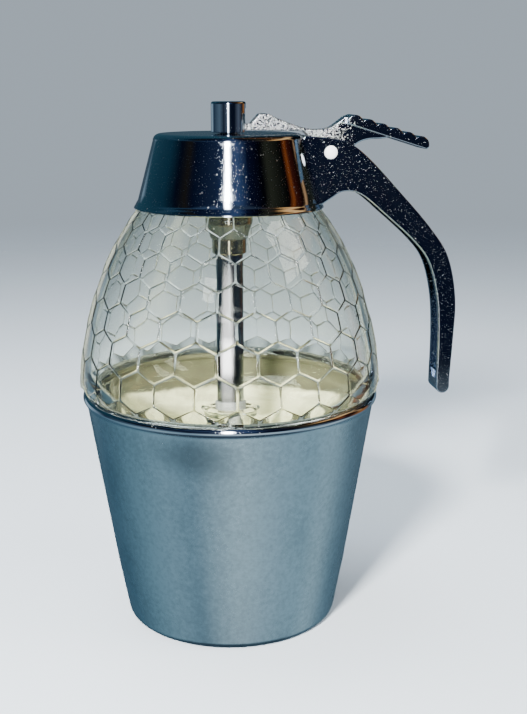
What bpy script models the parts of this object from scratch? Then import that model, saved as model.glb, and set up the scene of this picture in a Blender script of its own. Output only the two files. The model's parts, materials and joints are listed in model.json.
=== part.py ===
"""Table syrup dispenser: a pressed glass jar with a honeycomb relief, standing in a tapered metal
cup, under a cast chrome lid whose handle carries a thumb lever. The lever lifts a rod that opens
the outlet in the jar's floor.

Units are metres and +Z is up. The origin is the centre of the cup's underside, the jar, lid and
rod turn about the Z axis, and the handle points along +X."""
import math

import bmesh
import bpy
from mathutils import Matrix, Vector

MM = 0.001
GAP = 0.3 * MM
WELD = 0.02 * MM

# Cup
CUP_FOOT_RADIUS = 36.6 * MM
CUP_TOP_RADIUS = 49.2 * MM
CUP_BEND_RADIUS = 3.0 * MM
CUP_WALL = 1.0 * MM
CUP_FLOOR = 1.2 * MM
BEAD_RADIUS = 1.7 * MM
BEAD_CENTRE_RADIUS = 48.3 * MM
BEAD_CENTRE_HEIGHT = 78.7 * MM

# Jar
SHOULDER_FOOT = 86.0 * MM
SHOULDER_RISE = 56.0 * MM
JAR_RADIUS = 50.8 * MM
SHOULDER_ROUND = 14.74 * MM
SHOULDER_DROP = 6.55 * MM
JAR_WALL = 3.0 * MM
NECK_RADIUS = 24.0 * MM
NECK_TOP = 158.0 * MM
OUTLET_RADIUS = 4.4 * MM
OUTLET_SEAT_RADIUS = 7.3 * MM
OUTLET_SEAT_BOTTOM = 64.5 * MM
OUTLET_SEAT_TOP = 67.5 * MM

# Honeycomb relief
COLUMNS = 24
ROWS = 7
RIDGE_WIDTH = 0.9 * MM
RIDGE_HEIGHT = 0.5 * MM
FIRST_ROW_HEIGHT = 89.35 * MM
ROW_PITCH = 10.4 * MM
ROW_SQUEEZE = 0.32 * MM
FIRST_CELL_ANGLE = math.radians(4.0)

# Lid
LID_BOTTOM = 141.5 * MM
LID_TOP = 165.4 * MM
LID_LIP_RADIUS = 31.2 * MM
LID_LIP_HEIGHT = 2.4 * MM
LID_FOOT_RADIUS = 30.6 * MM
LID_SHOULDER_RADIUS = 24.7 * MM
LID_CORNER_RADIUS = 2.4 * MM
LID_WALL = 1.3 * MM
ROD_HOLE_RADIUS = 3.4 * MM

# Handle
HANDLE_WIDTH = 10.6 * MM
CHANNEL_WIDTH = 7.0 * MM
SPINE_THICKNESS = 1.8 * MM
CHANNEL_OVERCUT = 6.0
OUTER_EDGE = ((24.2, 164.6), (32.6, 163.8), (39.2, 162.2), (46.0, 157.2), (56.4, 146.3),
              (67.0, 134.5), (73.9, 124.1), (77.0, 110.0), (76.8, 96.0), (76.0, 81.4))
INNER_EDGE = ((30.2, 142.2), (33.2, 144.2), (37.5, 146.5), (43.4, 145.4), (51.6, 138.8),
              (62.0, 129.4), (67.5, 121.8), (70.6, 109.8), (71.5, 96.0), (71.4, 81.0))
TIP_CENTRE = (73.7, 78.7)
TIP_RADIUS = 2.35
SPINE_START = 43.5

# Pivot and rivet
PIVOT_X = 32.9 * MM
PIVOT_Z = 159.3 * MM
RIVET_RADIUS = 1.5 * MM
RIVET_HEAD_RADIUS = 2.15 * MM
RIVET_HEAD_HEIGHT = 0.7 * MM

# Lever
LEVER_WIDTH = 5.2 * MM
TONGUE_WIDTH = 3.4 * MM
BOSS_WIDTH = 6.2 * MM
BOSS_RADIUS = 4.2 * MM
PAD_WIDTH = 10.4 * MM
LEVER_TOP = ((7.0, 168.5), (9.0, 170.7), (10.0, 171.6), (12.9, 171.5), (14.6, 170.6), (18.6, 169.0),
             (23.0, 167.5), (26.3, 166.7), (29.7, 166.5), (33.0, 167.1), (36.2, 169.2), (38.6, 171.0))
LEVER_UNDERSIDE = ((54.0, 163.9), (50.0, 163.4), (46.0, 163.2), (42.8, 162.2), (40.2, 160.2),
                   (36.6, 157.4), (32.9, 155.4), (29.3, 157.8), (26.8, 163.4), (24.2, 166.0),
                   (7.0, 166.4))
TONGUE_TIP = 2.2 * MM
TONGUE_END = 12.0 * MM
TONGUE_BOTTOM = 166.4 * MM
TONGUE_TOP = 168.4 * MM
PAD_START = (38.5, 168.3)
PAD_SLOPE = math.radians(-17.3)
SCALLOPS = 6
SCALLOP_PITCH = 4.65
SCALLOP_RADIUS = 2.9
SCALLOP_CENTRE = 0.75

# Rod and its housing
HOUSING_RADIUS = 5.7 * MM
HOUSING_BORE_RADIUS = 4.7 * MM
HOUSING_TOP = 175.5 * MM
HOUSING_CROWN = 0.8 * MM
SLOT_WIDTH = 4.6 * MM
SLOT_TOP = 173.3 * MM
COLLAR_RADIUS = 7.8 * MM
COLLAR_CONE_TOP = 135.2 * MM
COLLAR_CONE_RADIUS = 6.2 * MM
COLLAR_CONE_BOTTOM = 130.4 * MM
SLEEVE_RADIUS = 5.7 * MM
COLLAR_BOTTOM = 125.4 * MM
TUBE_RADIUS = 4.6 * MM
TUBE_TOP = 148.0 * MM
ROD_RADIUS = 3.0 * MM
ROD_SHOULDER = 165.8 * MM
ROD_NECK_RADIUS = 1.6 * MM
ROD_HEAD_RADIUS = 4.4 * MM
ROD_HEAD_BOTTOM = 168.8 * MM
ROD_HEAD_TOP = 170.0 * MM
STOPPER_RADIUS = 5.4 * MM
STOPPER_TIP_RADIUS = 3.7 * MM
STOPPER_TOP = 72.0 * MM
STOPPER_CONE_TOP = 66.0 * MM
STOPPER_BOTTOM = 64.25 * MM


def remove_all_objects():
    """Empty the scene before the dispenser is built."""
    for obj in list(bpy.data.objects):
        bpy.data.objects.remove(obj, do_unlink=True)


def new_collection(name):
    """Make a collection in the scene."""
    collection = bpy.data.collections.new(name)
    bpy.context.scene.collection.children.link(collection)
    return collection


def principled(name, colour, roughness, metallic, transmission=0.0):
    """Make a material from one Principled shader."""
    made = bpy.data.materials.new(name)
    made.use_nodes = True
    made.diffuse_color = (*colour, 1.0)
    shader = made.node_tree.nodes["Principled BSDF"]
    shader.inputs["Base Color"].default_value = (*colour, 1.0)
    shader.inputs["Roughness"].default_value = roughness
    shader.inputs["Metallic"].default_value = metallic
    shader.inputs["Transmission Weight"].default_value = transmission
    return made


def arc(centre, radius, start, end, steps):
    """Points of an arc from one angle to another, in degrees, with both ends."""
    points = []
    for step in range(steps + 1):
        angle = math.radians(start + (end - start) * step / steps)
        points.append((centre[0] + radius * math.cos(angle), centre[1] + radius * math.sin(angle)))
    return points


def smooth_line(points, steps=4):
    """Run a Catmull-Rom line through the points."""
    ends = [points[0]] + list(points) + [points[-1]]
    line = []
    for p0, p1, p2, p3 in zip(ends, ends[1:], ends[2:], ends[3:]):
        for step in range(steps):
            t = step / steps
            line.append(tuple(
                0.5 * (2 * b + (c - a) * t + (2 * a - 5 * b + 4 * c - d) * t ** 2
                       + (3 * b - a - 3 * c + d) * t ** 3)
                for a, b, c, d in zip(p0, p1, p2, p3)))
    line.append(tuple(points[-1]))
    return line


def offset_line(points, distance):
    """Move a line sideways, to the right of its own direction."""
    moved = []
    for index, point in enumerate(points):
        before = Vector(points[max(index - 1, 0)])
        after = Vector(points[min(index + 1, len(points) - 1)])
        along = (after - before).normalized()
        moved.append((point[0] + along.y * distance, point[1] - along.x * distance))
    return moved


def link(obj, collection, material=None):
    """Put an object in its collection and give it its material."""
    collection.objects.link(obj)
    if material:
        obj.data.materials.append(material)
    return obj


def shade_round(obj, sharpest=35.0):
    """Shade smooth, with edges above the angle left sharp."""
    obj.data.shade_smooth()
    obj.data.set_sharp_from_angle(angle=math.radians(sharpest))


def turned(name, profile, collection, material=None, steps=48, closed=False):
    """Turn a profile of (radius, height) points about the Z axis with a Screw modifier."""
    edges = [(i, i + 1) for i in range(len(profile) - 1)]
    if closed:
        edges.append((len(profile) - 1, 0))
    mesh = bpy.data.meshes.new(name)
    mesh.from_pydata([(radius, 0.0, height) for radius, height in profile], edges, [])
    obj = link(bpy.data.objects.new(name, mesh), collection, material)
    screw = obj.modifiers.new("turn", "SCREW")
    screw.steps = screw.render_steps = steps
    screw.use_merge_vertices = True
    screw.merge_threshold = WELD
    return obj


def plate(name, outline, width, collection, material=None):
    """Extrude an upright outline of (x, z) points to a width centred on the XZ plane."""
    curve = bpy.data.curves.new(name, "CURVE")
    curve.dimensions = "2D"
    curve.fill_mode = "BOTH"
    curve.extrude = width / 2
    spline = curve.splines.new("POLY")
    spline.points.add(len(outline) - 1)
    for point, (x, z) in zip(spline.points, outline):
        point.co = (x, z, 0.0, 1.0)
    spline.use_cyclic_u = True
    drawn = link(bpy.data.objects.new(name, curve), collection)
    drawn.rotation_euler = (math.radians(90), 0.0, 0.0)
    return mesh_from_curve(drawn, collection, material)


def mesh_from_curve(drawn, collection, material):
    """Replace a curve object with a welded mesh object that Booleans can use."""
    name = drawn.name
    bpy.context.view_layer.update()
    evaluated = drawn.evaluated_get(bpy.context.evaluated_depsgraph_get())
    mesh = bpy.data.meshes.new_from_object(evaluated)
    mesh.transform(drawn.matrix_world)
    bpy.data.objects.remove(drawn, do_unlink=True)
    work = bmesh.new()
    work.from_mesh(mesh)
    bmesh.ops.remove_doubles(work, verts=work.verts, dist=WELD)
    bmesh.ops.recalc_face_normals(work, faces=work.faces)
    work.to_mesh(mesh)
    work.free()
    obj = link(bpy.data.objects.new(name, mesh), collection)
    obj.name = name
    if material:
        obj.data.materials.clear()
        obj.data.materials.append(material)
    return obj


def cross_pin(name, radius, width, cutters):
    """A cylinder along Y on the lever's pivot."""
    mesh = bpy.data.meshes.new(name)
    work = bmesh.new()
    place = Matrix.Translation((PIVOT_X, 0.0, PIVOT_Z)) @ Matrix.Rotation(math.radians(90), 4, "X")
    bmesh.ops.create_cone(work, cap_ends=True, segments=24, radius1=radius, radius2=radius,
                          depth=width, matrix=place)
    work.to_mesh(mesh)
    work.free()
    return as_cutter(link(bpy.data.objects.new(name, mesh), cutters))


def box(name, low, high, cutters):
    """A box between two corners."""
    mesh = bpy.data.meshes.new(name)
    work = bmesh.new()
    middle = [(a + b) / 2 for a, b in zip(low, high)]
    size = [b - a for a, b in zip(low, high)]
    place = Matrix.Translation(middle) @ Matrix.Diagonal((*size, 1.0))
    bmesh.ops.create_cube(work, size=1.0, matrix=place)
    work.to_mesh(mesh)
    work.free()
    return as_cutter(link(bpy.data.objects.new(name, mesh), cutters))


def as_cutter(obj):
    """Mark a helper shape as one that is never shown."""
    obj.hide_render = True
    obj.display_type = "WIRE"
    return obj


def combine(obj, other, operation):
    """Join a helper shape to an object, or cut it out."""
    modifier = obj.modifiers.new(f"{operation.lower()} {other.name}", "BOOLEAN")
    modifier.operation = operation
    modifier.object = other
    modifier.solver = "EXACT"


def set_origin(obj, point):
    """Move an object's origin without moving its shape."""
    obj.data.transform(Matrix.Translation([-value for value in point]))
    obj.location = point


def metres(points):
    """Scale outline points in millimetres to metres."""
    return [(x * MM, z * MM) for x, z in points]


def shoulder_radius(height):
    """Outer radius of the jar's glass at a height above its widest line."""
    rise = max(height - SHOULDER_FOOT, 0.0) / SHOULDER_RISE
    return JAR_RADIUS - SHOULDER_ROUND * rise ** 1.4 - SHOULDER_DROP * rise ** 4


def lid_radius(height):
    """Outer radius of the lid's cone."""
    share = (height - LID_BOTTOM) / (LID_TOP - LID_CORNER_RADIUS - LID_BOTTOM)
    return LID_FOOT_RADIUS + (LID_SHOULDER_RADIUS - LID_FOOT_RADIUS) * share


def build_cup(parts, chrome):
    """Tapered cup, open at the top, with a rolled bead for a rim."""
    taper = math.degrees(math.atan2(CUP_TOP_RADIUS - CUP_FOOT_RADIUS, BEAD_CENTRE_HEIGHT))
    bend = CUP_BEND_RADIUS
    bend_centre = (CUP_FOOT_RADIUS - bend, bend)
    bead_centre = (BEAD_CENTRE_RADIUS, BEAD_CENTRE_HEIGHT)
    inner_bend = arc(bend_centre, bend - CUP_WALL, -90, -taper, 3)
    inner_bend[0] = (bend_centre[0], CUP_FLOOR)
    profile = [(0.0, CUP_FLOOR)] + inner_bend
    profile += arc(bead_centre, BEAD_RADIUS, 250, -55, 12)
    profile += arc(bend_centre, bend, -taper, -90, 4)
    profile.append((0.0, 0.0))
    shade_round(turned("holder_cup", profile, parts, chrome))


def wrap_honeycomb(work):
    """Bend the flat honeycomb round the jar: x becomes the angle, y the height, z the relief."""
    for vert in work.verts:
        angle = FIRST_CELL_ANGLE + vert.co.x / math.sqrt(3) * math.tau / COLUMNS
        row = vert.co.y / 1.5
        height = FIRST_ROW_HEIGHT + ROW_PITCH * row - ROW_SQUEEZE * row * abs(row)
        radius = shoulder_radius(height) + vert.co.z
        vert.co = (radius * math.cos(angle), radius * math.sin(angle), height)


def honeycomb(work):
    """Raised ridges round six-sided panels, as an open band of faces round the jar's shoulder."""
    for row in range(ROWS):
        for column in range(COLUMNS):
            place = Matrix.Translation((math.sqrt(3) * (column + 0.5 * (row % 2)), 1.5 * row, 0.0))
            bmesh.ops.create_circle(work, cap_ends=True, segments=6, radius=1.0, matrix=place)
    bmesh.ops.remove_doubles(work, verts=work.verts, dist=0.01)
    bmesh.ops.recalc_face_normals(work, faces=work.faces)
    cell_width = math.tau * JAR_RADIUS / COLUMNS
    ridge = 0.5 * RIDGE_WIDTH / (cell_width / math.sqrt(3))
    bmesh.ops.inset_individual(work, faces=work.faces, thickness=ridge, use_even_offset=True)
    for vert in work.verts:
        if not vert.is_boundary and len(vert.link_edges) == 3 and len(vert.link_faces) == 3:
            panels = [face for face in vert.link_faces if len(face.verts) == 6]
            vert.co.z = -RIDGE_HEIGHT if len(panels) == 1 else 0.0
    wrap_honeycomb(work)
    bmesh.ops.remove_doubles(work, verts=work.verts, dist=WELD)


def draw_ring(work, edges, radius, height):
    """Extrude a ring of edges to a circle of another radius and height."""
    made = bmesh.ops.extrude_edge_only(work, edges=edges)["geom"]
    for vert in (item for item in made if isinstance(item, bmesh.types.BMVert)):
        flat = Vector((vert.co.x, vert.co.y)).normalized() * radius
        vert.co = (flat.x, flat.y, height)
    return [item for item in made if isinstance(item, bmesh.types.BMEdge)]


def build_jar(parts, glass):
    """Pressed glass jar: honeycomb shoulder, neck under the lid and an outlet in the floor."""
    work = bmesh.new()
    honeycomb(work)
    middle = FIRST_ROW_HEIGHT + ROW_PITCH * ROWS / 2
    rims = [edge for edge in work.edges if edge.is_boundary]
    upper = [edge for edge in rims if edge.verts[0].co.z > middle]
    lower = [edge for edge in rims if edge.verts[0].co.z < middle]
    inside = JAR_WALL
    neck_to_floor = [
        (25.0 * MM, 147.0 * MM), (NECK_RADIUS, 149.0 * MM), (NECK_RADIUS, NECK_TOP),
        (NECK_RADIUS - inside, NECK_TOP), (NECK_RADIUS - inside, 149.0 * MM)]
    for height in (142.0, 136.0, 128.0, 118.0, 105.0, 92.0, 84.0):
        neck_to_floor.append((shoulder_radius(height * MM - 0.6 * inside) - inside, height * MM))
    neck_to_floor += metres([(44.6, 79.5), (43.4, 76.0), (40.6, 71.6), (34.0, 69.0), (18.0, 68.0)])
    neck_to_floor += [(OUTLET_SEAT_RADIUS, OUTLET_SEAT_TOP), (OUTLET_RADIUS, OUTLET_SEAT_BOTTOM),
                      (OUTLET_RADIUS, 57.0 * MM)]
    neck_to_floor += metres([(8.6, 57.0), (9.4, 58.0), (9.8, 63.6), (30.0, 65.0), (37.6, 66.6),
                             (43.4, 70.2), (45.6, 74.4), (46.1, 78.4), (46.5, 79.8), (48.3, 80.8),
                             (49.6, 81.4)])
    for radius, height in neck_to_floor:
        upper = draw_ring(work, upper, radius, height)
    bmesh.ops.bridge_loops(work, edges=upper + lower)
    bmesh.ops.recalc_face_normals(work, faces=work.faces)
    mesh = bpy.data.meshes.new("jar")
    work.to_mesh(mesh)
    work.free()
    shade_round(link(bpy.data.objects.new("jar", mesh), parts, glass), 20.0)


def lid_profile():
    """Closed section of the lid: hole, top, rounded corner, cone, flared foot and the inside."""
    corner = (LID_SHOULDER_RADIUS - LID_CORNER_RADIUS, LID_TOP - LID_CORNER_RADIUS)
    lip_top = LID_BOTTOM + LID_LIP_HEIGHT
    profile = [(ROD_HOLE_RADIUS, LID_TOP)]
    profile += arc(corner, LID_CORNER_RADIUS, 90, 15, 5)
    profile += [(lid_radius(lip_top), lip_top), (LID_LIP_RADIUS, LID_BOTTOM + 0.4 * MM),
                (LID_LIP_RADIUS, LID_BOTTOM), (LID_FOOT_RADIUS - 0.4 * MM, LID_BOTTOM)]
    profile.append((LID_FOOT_RADIUS - LID_WALL, lip_top))
    profile.append((LID_SHOULDER_RADIUS - LID_WALL, corner[1]))
    profile.append((corner[0], LID_TOP - LID_WALL))
    profile.append((ROD_HOLE_RADIUS, LID_TOP - LID_WALL))
    return profile


def handle_outline():
    """Side view of the handle, from the top of the lid round the tip and back to its lip."""
    tip = arc(TIP_CENTRE, TIP_RADIUS, 10, -190, 7)
    outline = metres(smooth_line(OUTER_EDGE) + tip + smooth_line(INNER_EDGE)[::-1])
    inside_wall = 0.9 * MM
    for height in (144.2 * MM, 154.0 * MM, 162.4 * MM):
        outline.append((lid_radius(height) - inside_wall, height))
    return outline


def channel_outline():
    """Side view of the groove between the cheeks, open above where the lever lies."""
    spine = [point for point in smooth_line(OUTER_EDGE) if point[0] > SPINE_START]
    under_spine = offset_line(spine, SPINE_THICKNESS / MM)
    beyond = offset_line(smooth_line(INNER_EDGE)[4:], CHANNEL_OVERCUT)[::-1]
    above = [(20.0, 136.0), (20.0, 172.0), (SPINE_START + 3.0, 172.0)]
    return metres(under_spine + beyond + above)


def build_lid(parts, cutters, chrome):
    """Cast lid and handle in one piece, the handle a channel with two cheeks and a spine."""
    handle = as_cutter(plate("handle_form", handle_outline(), HANDLE_WIDTH, cutters))
    channel = as_cutter(plate("handle_channel", channel_outline(), CHANNEL_WIDTH, cutters))
    pin_hole = cross_pin("rivet_hole", RIVET_RADIUS + GAP, 2 * HANDLE_WIDTH, cutters)
    combine(handle, channel, "DIFFERENCE")
    combine(handle, pin_hole, "DIFFERENCE")
    lid = turned("lid", lid_profile(), parts, chrome, closed=True)
    combine(lid, handle, "UNION")
    shade_round(lid)


def build_housing(parts, cutters, chrome):
    """Capped tube on the lid, slotted on the handle's side for the lever's tongue."""
    low = LID_TOP + GAP
    corner = 0.9 * MM
    ceiling = HOUSING_TOP - HOUSING_CROWN
    profile = [(0.0, HOUSING_TOP)]
    profile += arc((HOUSING_RADIUS - corner, HOUSING_TOP - corner), corner, 90, 0, 3)
    profile += [(HOUSING_RADIUS, low), (HOUSING_BORE_RADIUS, low), (HOUSING_BORE_RADIUS, ceiling),
                (0.0, ceiling)]
    housing = turned("spring_housing", profile, parts, chrome, steps=32)
    slot = box("tongue_slot", (2.5 * MM, -SLOT_WIDTH / 2, LID_TOP - MM),
               (9.0 * MM, SLOT_WIDTH / 2, SLOT_TOP), cutters)
    combine(housing, slot, "DIFFERENCE")
    shade_round(housing)


def build_collar(parts, chrome):
    """Guide that hangs under the lid round the rod, with a cone above a thin sleeve."""
    bore = TUBE_RADIUS + GAP
    top = LID_TOP - LID_WALL - GAP
    profile = [(bore, top), (COLLAR_RADIUS, top), (COLLAR_RADIUS, COLLAR_CONE_TOP),
               (COLLAR_CONE_RADIUS, COLLAR_CONE_BOTTOM), (SLEEVE_RADIUS, COLLAR_CONE_BOTTOM),
               (SLEEVE_RADIUS, COLLAR_BOTTOM), (bore, COLLAR_BOTTOM)]
    shade_round(turned("guide_collar", profile, parts, chrome, steps=32, closed=True))


def build_plunger(parts, chrome, grey):
    """Rod from the outlet to the lever, with a neck and head that the tongue lifts."""
    foot = STOPPER_TOP + GAP
    profile = [(0.0, ROD_HEAD_TOP), (ROD_HEAD_RADIUS, ROD_HEAD_TOP),
               (ROD_HEAD_RADIUS, ROD_HEAD_BOTTOM), (ROD_NECK_RADIUS, ROD_HEAD_BOTTOM),
               (ROD_NECK_RADIUS, ROD_SHOULDER), (ROD_RADIUS, ROD_SHOULDER),
               (ROD_RADIUS, TUBE_TOP + 1.6 * MM), (TUBE_RADIUS, TUBE_TOP), (TUBE_RADIUS, foot),
               (0.0, foot)]
    plunger = turned("plunger", profile, parts, chrome, steps=32)
    set_origin(plunger, (0.0, 0.0, OUTLET_SEAT_BOTTOM))
    shade_round(plunger)
    seat = [(0.0, STOPPER_TOP), (STOPPER_RADIUS - 0.6 * MM, STOPPER_TOP),
            (STOPPER_RADIUS, STOPPER_TOP - 0.6 * MM), (STOPPER_RADIUS, STOPPER_CONE_TOP),
            (STOPPER_TIP_RADIUS, STOPPER_BOTTOM), (0.0, STOPPER_BOTTOM)]
    stopper = turned("stopper", seat, parts, grey, steps=32)
    set_origin(stopper, (0.0, 0.0, OUTLET_SEAT_BOTTOM))
    shade_round(stopper)


def build_rivet(parts, chrome):
    """Headed pin across the cheeks and the lever."""
    face = HANDLE_WIDTH / 2 + GAP
    head = face + RIVET_HEAD_HEIGHT
    crown = RIVET_HEAD_RADIUS - 0.5 * MM
    profile = [(0.0, head), (crown, head), (RIVET_HEAD_RADIUS, head - 0.3 * MM),
               (RIVET_HEAD_RADIUS, face), (RIVET_RADIUS, face), (RIVET_RADIUS, -face),
               (RIVET_HEAD_RADIUS, -face), (RIVET_HEAD_RADIUS, 0.3 * MM - head), (crown, -head),
               (0.0, -head)]
    rivet = turned("rivet", profile, parts, chrome, steps=24)
    rivet.rotation_euler = (math.radians(90), 0.0, 0.0)
    rivet.location = (PIVOT_X, 0.0, PIVOT_Z)
    shade_round(rivet)


def pad_outline():
    """Side view of the thumb pad: a flat underside and a row of scallops on top."""
    along = Vector((math.cos(PAD_SLOPE), math.sin(PAD_SLOPE)))
    upward = Vector((-along.y, along.x))
    start = Vector(PAD_START)
    half_angle = math.degrees(math.asin(SCALLOP_PITCH / 2 / SCALLOP_RADIUS))
    outline = [start]
    for index in range(SCALLOPS):
        centre = start + along * SCALLOP_PITCH * (index + 0.5) + upward * SCALLOP_CENTRE
        first = 160 if index == 0 else 90 + half_angle
        last = 0 if index == SCALLOPS - 1 else 90 - half_angle
        for x, z in arc((0.0, 0.0), SCALLOP_RADIUS, first, last, 6):
            outline.append(centre + along * x + upward * z)
    outline.append(start + along * (SCALLOP_PITCH * SCALLOPS))
    return metres(outline)


def build_lever(parts, cutters, chrome):
    """Lever from the tongue in the housing, over the pivot, to the scalloped thumb pad."""
    arm = smooth_line(LEVER_TOP, 2) + [(56.0, 164.8)] + list(LEVER_UNDERSIDE)
    lever = plate("lever", metres(arm), LEVER_WIDTH, parts, chrome)
    pad = as_cutter(plate("pad_form", pad_outline(), PAD_WIDTH, cutters))
    tongue = box("tongue_form", (TONGUE_TIP, -TONGUE_WIDTH / 2, TONGUE_BOTTOM + 0.02 * MM),
                 (TONGUE_END, TONGUE_WIDTH / 2, TONGUE_TOP), cutters)
    boss = cross_pin("boss_form", BOSS_RADIUS, BOSS_WIDTH, cutters)
    pin_hole = cross_pin("lever_hole", RIVET_RADIUS + GAP, 2 * BOSS_WIDTH, cutters)
    for form in (pad, tongue, boss):
        combine(lever, form, "UNION")
    combine(lever, pin_hole, "DIFFERENCE")
    set_origin(lever, (PIVOT_X, 0.0, PIVOT_Z))
    shade_round(lever)


def main():
    """Build every piece of the dispenser."""
    remove_all_objects()
    parts = new_collection("syrup_dispenser")
    cutters = new_collection("cutters")
    satin = principled("satin_metal", (0.42, 0.52, 0.62), 0.32, 1.0)
    chrome = principled("polished_chrome", (0.62, 0.64, 0.68), 0.08, 1.0)
    glass = principled("clear_glass", (0.96, 0.97, 0.93), 0.02, 0.0, 1.0)
    grey = principled("grey_stopper", (0.33, 0.34, 0.33), 0.45, 0.0)
    build_cup(parts, satin)
    build_jar(parts, glass)
    build_lid(parts, cutters, chrome)
    build_housing(parts, cutters, chrome)
    build_collar(parts, chrome)
    build_plunger(parts, chrome, grey)
    build_rivet(parts, chrome)
    build_lever(parts, cutters, chrome)


main()
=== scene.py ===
"""Table syrup dispenser in glass and chrome, modelled over its frame: honeycomb jar, metal cup,
cast lid with a channel handle, thumb lever, lifting rod and housing, on a pale studio floor."""
import json
import math

import bmesh
import bpy
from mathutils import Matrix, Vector


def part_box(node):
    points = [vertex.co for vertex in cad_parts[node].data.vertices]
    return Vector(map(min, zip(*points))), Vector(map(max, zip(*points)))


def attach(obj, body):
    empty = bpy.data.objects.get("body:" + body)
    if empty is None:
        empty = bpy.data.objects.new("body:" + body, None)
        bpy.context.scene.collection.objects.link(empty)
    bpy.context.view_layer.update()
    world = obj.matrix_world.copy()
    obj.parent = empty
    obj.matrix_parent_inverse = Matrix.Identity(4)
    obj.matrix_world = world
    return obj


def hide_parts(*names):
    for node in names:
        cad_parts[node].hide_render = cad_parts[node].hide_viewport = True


bl_info = {
    "name": "Syrup Dispenser",
    "version": (1, 0, 0),
    "blender": (4, 5, 0),
    "location": "3D View > Sidebar > Dispenser",
    "description": "Models a glass and chrome table syrup dispenser",
    "category": "Add Mesh",
}

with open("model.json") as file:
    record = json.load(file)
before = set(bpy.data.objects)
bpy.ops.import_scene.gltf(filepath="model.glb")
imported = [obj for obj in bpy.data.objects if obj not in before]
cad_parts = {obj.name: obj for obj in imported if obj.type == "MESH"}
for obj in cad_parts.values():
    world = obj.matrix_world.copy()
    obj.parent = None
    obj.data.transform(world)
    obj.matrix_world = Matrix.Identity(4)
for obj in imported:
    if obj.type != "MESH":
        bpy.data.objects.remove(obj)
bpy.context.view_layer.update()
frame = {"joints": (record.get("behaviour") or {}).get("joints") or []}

MM = 0.001
WELD = 0.01 * MM
SHARP_EDGE = math.radians(40.0)

# Places read from the frame
CUP_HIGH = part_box("holder_cup")[1]
JAR_LOW, JAR_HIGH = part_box("jar")
LID_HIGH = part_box("lid")[1]
HOUSING_LOW, HOUSING_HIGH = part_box("spring_housing")
COLLAR_LOW, COLLAR_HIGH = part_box("guide_collar")
PLUNGER_LOW, PLUNGER_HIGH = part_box("plunger")
STOPPER_LOW, STOPPER_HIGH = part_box("stopper")
RIVET_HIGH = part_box("rivet")[1]
LEVER_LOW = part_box("lever")[0]
PIVOT = next(Vector(joint["pos_m"]) for joint in frame["joints"] if joint["name"] == "lever_pivot")

# Cup
CUP_FOOT_RADIUS = 36.6 * MM
CUP_FLARE = 12.5 * MM
CUP_RIM_RADIUS = 50.0 * MM
CUP_BEND = 3.0 * MM
CUP_TAPER = math.degrees(math.atan2(12.6, 78.7))
BRIGHT_RIM_DROP = 1.45 * MM
# Height inside the cup above which the lining turns to a grey brown painted shade
LINING_TOP = 65.0 * MM

# Jar shoulder: radius against height, the same curve as the frame's jar
SHOULDER_FOOT = 86.0 * MM
SHOULDER_RISE = 56.0 * MM
SHOULDER_ROUND = 14.74 * MM
SHOULDER_DROP = 6.55 * MM
JAR_RADIUS = 50.8 * MM
NECK_RADIUS = 24.0 * MM
NECK_FOOT = 149.0 * MM
OUTLET_RADIUS = 4.4 * MM
SEAT_RADIUS = 7.3 * MM
SEAT_TOP = 67.5 * MM
SEAT_FOOT = 64.5 * MM

# Honeycomb rows
FIRST_ROW_HEIGHT = 89.35 * MM
ROW_PITCH = 10.4 * MM
ROW_SQUEEZE = 0.32 * MM
FIRST_CELL_ANGLE = math.radians(4.0)

# Lid
LID_BOTTOM = 141.5 * MM
LID_CORNER_RADIUS = 2.4 * MM
LID_FOOT_RADIUS = 30.6 * MM
LID_SHOULDER_RADIUS = 24.7 * MM
LID_WALL = 1.3 * MM
ROD_HOLE_RADIUS = 3.4 * MM
PIN_HOLE_RADIUS = 1.8 * MM

# Side view of the handle in millimetres
OUTER_EDGE = ((24.2, 164.6), (32.6, 163.8), (39.2, 162.2), (46.0, 157.2), (56.4, 146.3),
              (67.0, 134.5), (73.9, 124.1), (77.0, 110.0), (76.8, 96.0), (76.0, 81.4))
INNER_EDGE = ((30.2, 142.2), (33.2, 144.2), (37.5, 146.5), (43.4, 145.4), (51.6, 138.8),
              (62.0, 129.4), (67.5, 121.8), (70.6, 109.8), (71.5, 96.0), (71.4, 81.0))
TIP_CENTRE = (73.7, 78.7)
TIP_RADIUS = 2.35
SPINE_START = 43.5
GROOVE_REACH = 6.0
ROOT_DEPTH = 1.6 * MM

# Side view of the lever in millimetres
LEVER_TOP = ((7.0, 168.5), (9.0, 170.7), (10.0, 171.6), (12.9, 171.5), (14.6, 170.6),
             (18.6, 169.0), (23.0, 167.5), (26.3, 166.7), (29.7, 166.5), (33.0, 167.1),
             (36.2, 169.2), (38.4, 170.9))
LEVER_UNDERSIDE = ((54.0, 163.9), (50.0, 163.4), (46.0, 163.2), (42.8, 162.2), (40.2, 160.2),
                   (36.6, 157.4), (32.9, 155.4), (29.3, 157.8), (26.8, 163.4), (24.2, 166.0))
LEVER_PAD_END = (56.0, 164.8)
LEVER_TONGUE_FOOT = (7.0, 166.4)
BOSS_RADIUS = 4.2 * MM
PAD_START = (38.5, 168.3)
PAD_SLOPE = math.radians(-17.3)
SCALLOP_PITCH = 4.65
SCALLOP_RADIUS = 2.9
SCALLOP_CENTRE = 0.75

# Pale flecks in the chrome
FLECK_COLOUR = (0.95, 0.95, 0.93)

# Darker patch high on the cup's front
DARK_PATCH_PLACE = (-0.0167, -0.0445, 0.070)
DARK_PATCH_REACH = 16.0 * MM
DARK_PATCH_FLATNESS = 1.9

# Photograph's camera, fitted to the round edges
CAMERA_PLACE = (-0.0384, -0.3656, 0.1800)
CAMERA_HEADING = math.radians(7.77)
CAMERA_PITCH = math.radians(-13.70)
CAMERA_LENS = 55.86

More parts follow.
